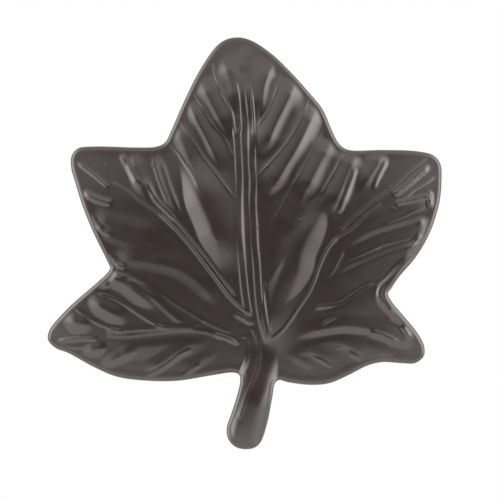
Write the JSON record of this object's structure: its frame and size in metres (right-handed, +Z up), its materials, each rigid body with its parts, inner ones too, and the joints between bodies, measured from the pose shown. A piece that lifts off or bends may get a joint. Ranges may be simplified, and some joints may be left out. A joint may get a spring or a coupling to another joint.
{
  "type": "leaf shaped pull",
  "caption": "Drawer and cabinet pull cast as a five-lobed leaf with raised veins and a short stalk, standing on two tapped posts at its back.",
  "frame": {"origin": "on the drawer front, midway between the two post feet", "axes": "+Z up along the leaf towards its tip, +Y from the leaf into the drawer front, so the veined face looks towards -Y, +X to the right as seen from the front"},
  "size_m": [0.0731, 0.0258, 0.0764],
  "materials": {
    "lacquered_zinc": "satin dark brown lacquer on a zinc die casting"
  },
  "bodies": {
    "root": {"leaf_casting": "lacquered_zinc"}
  },
  "joints": []
}
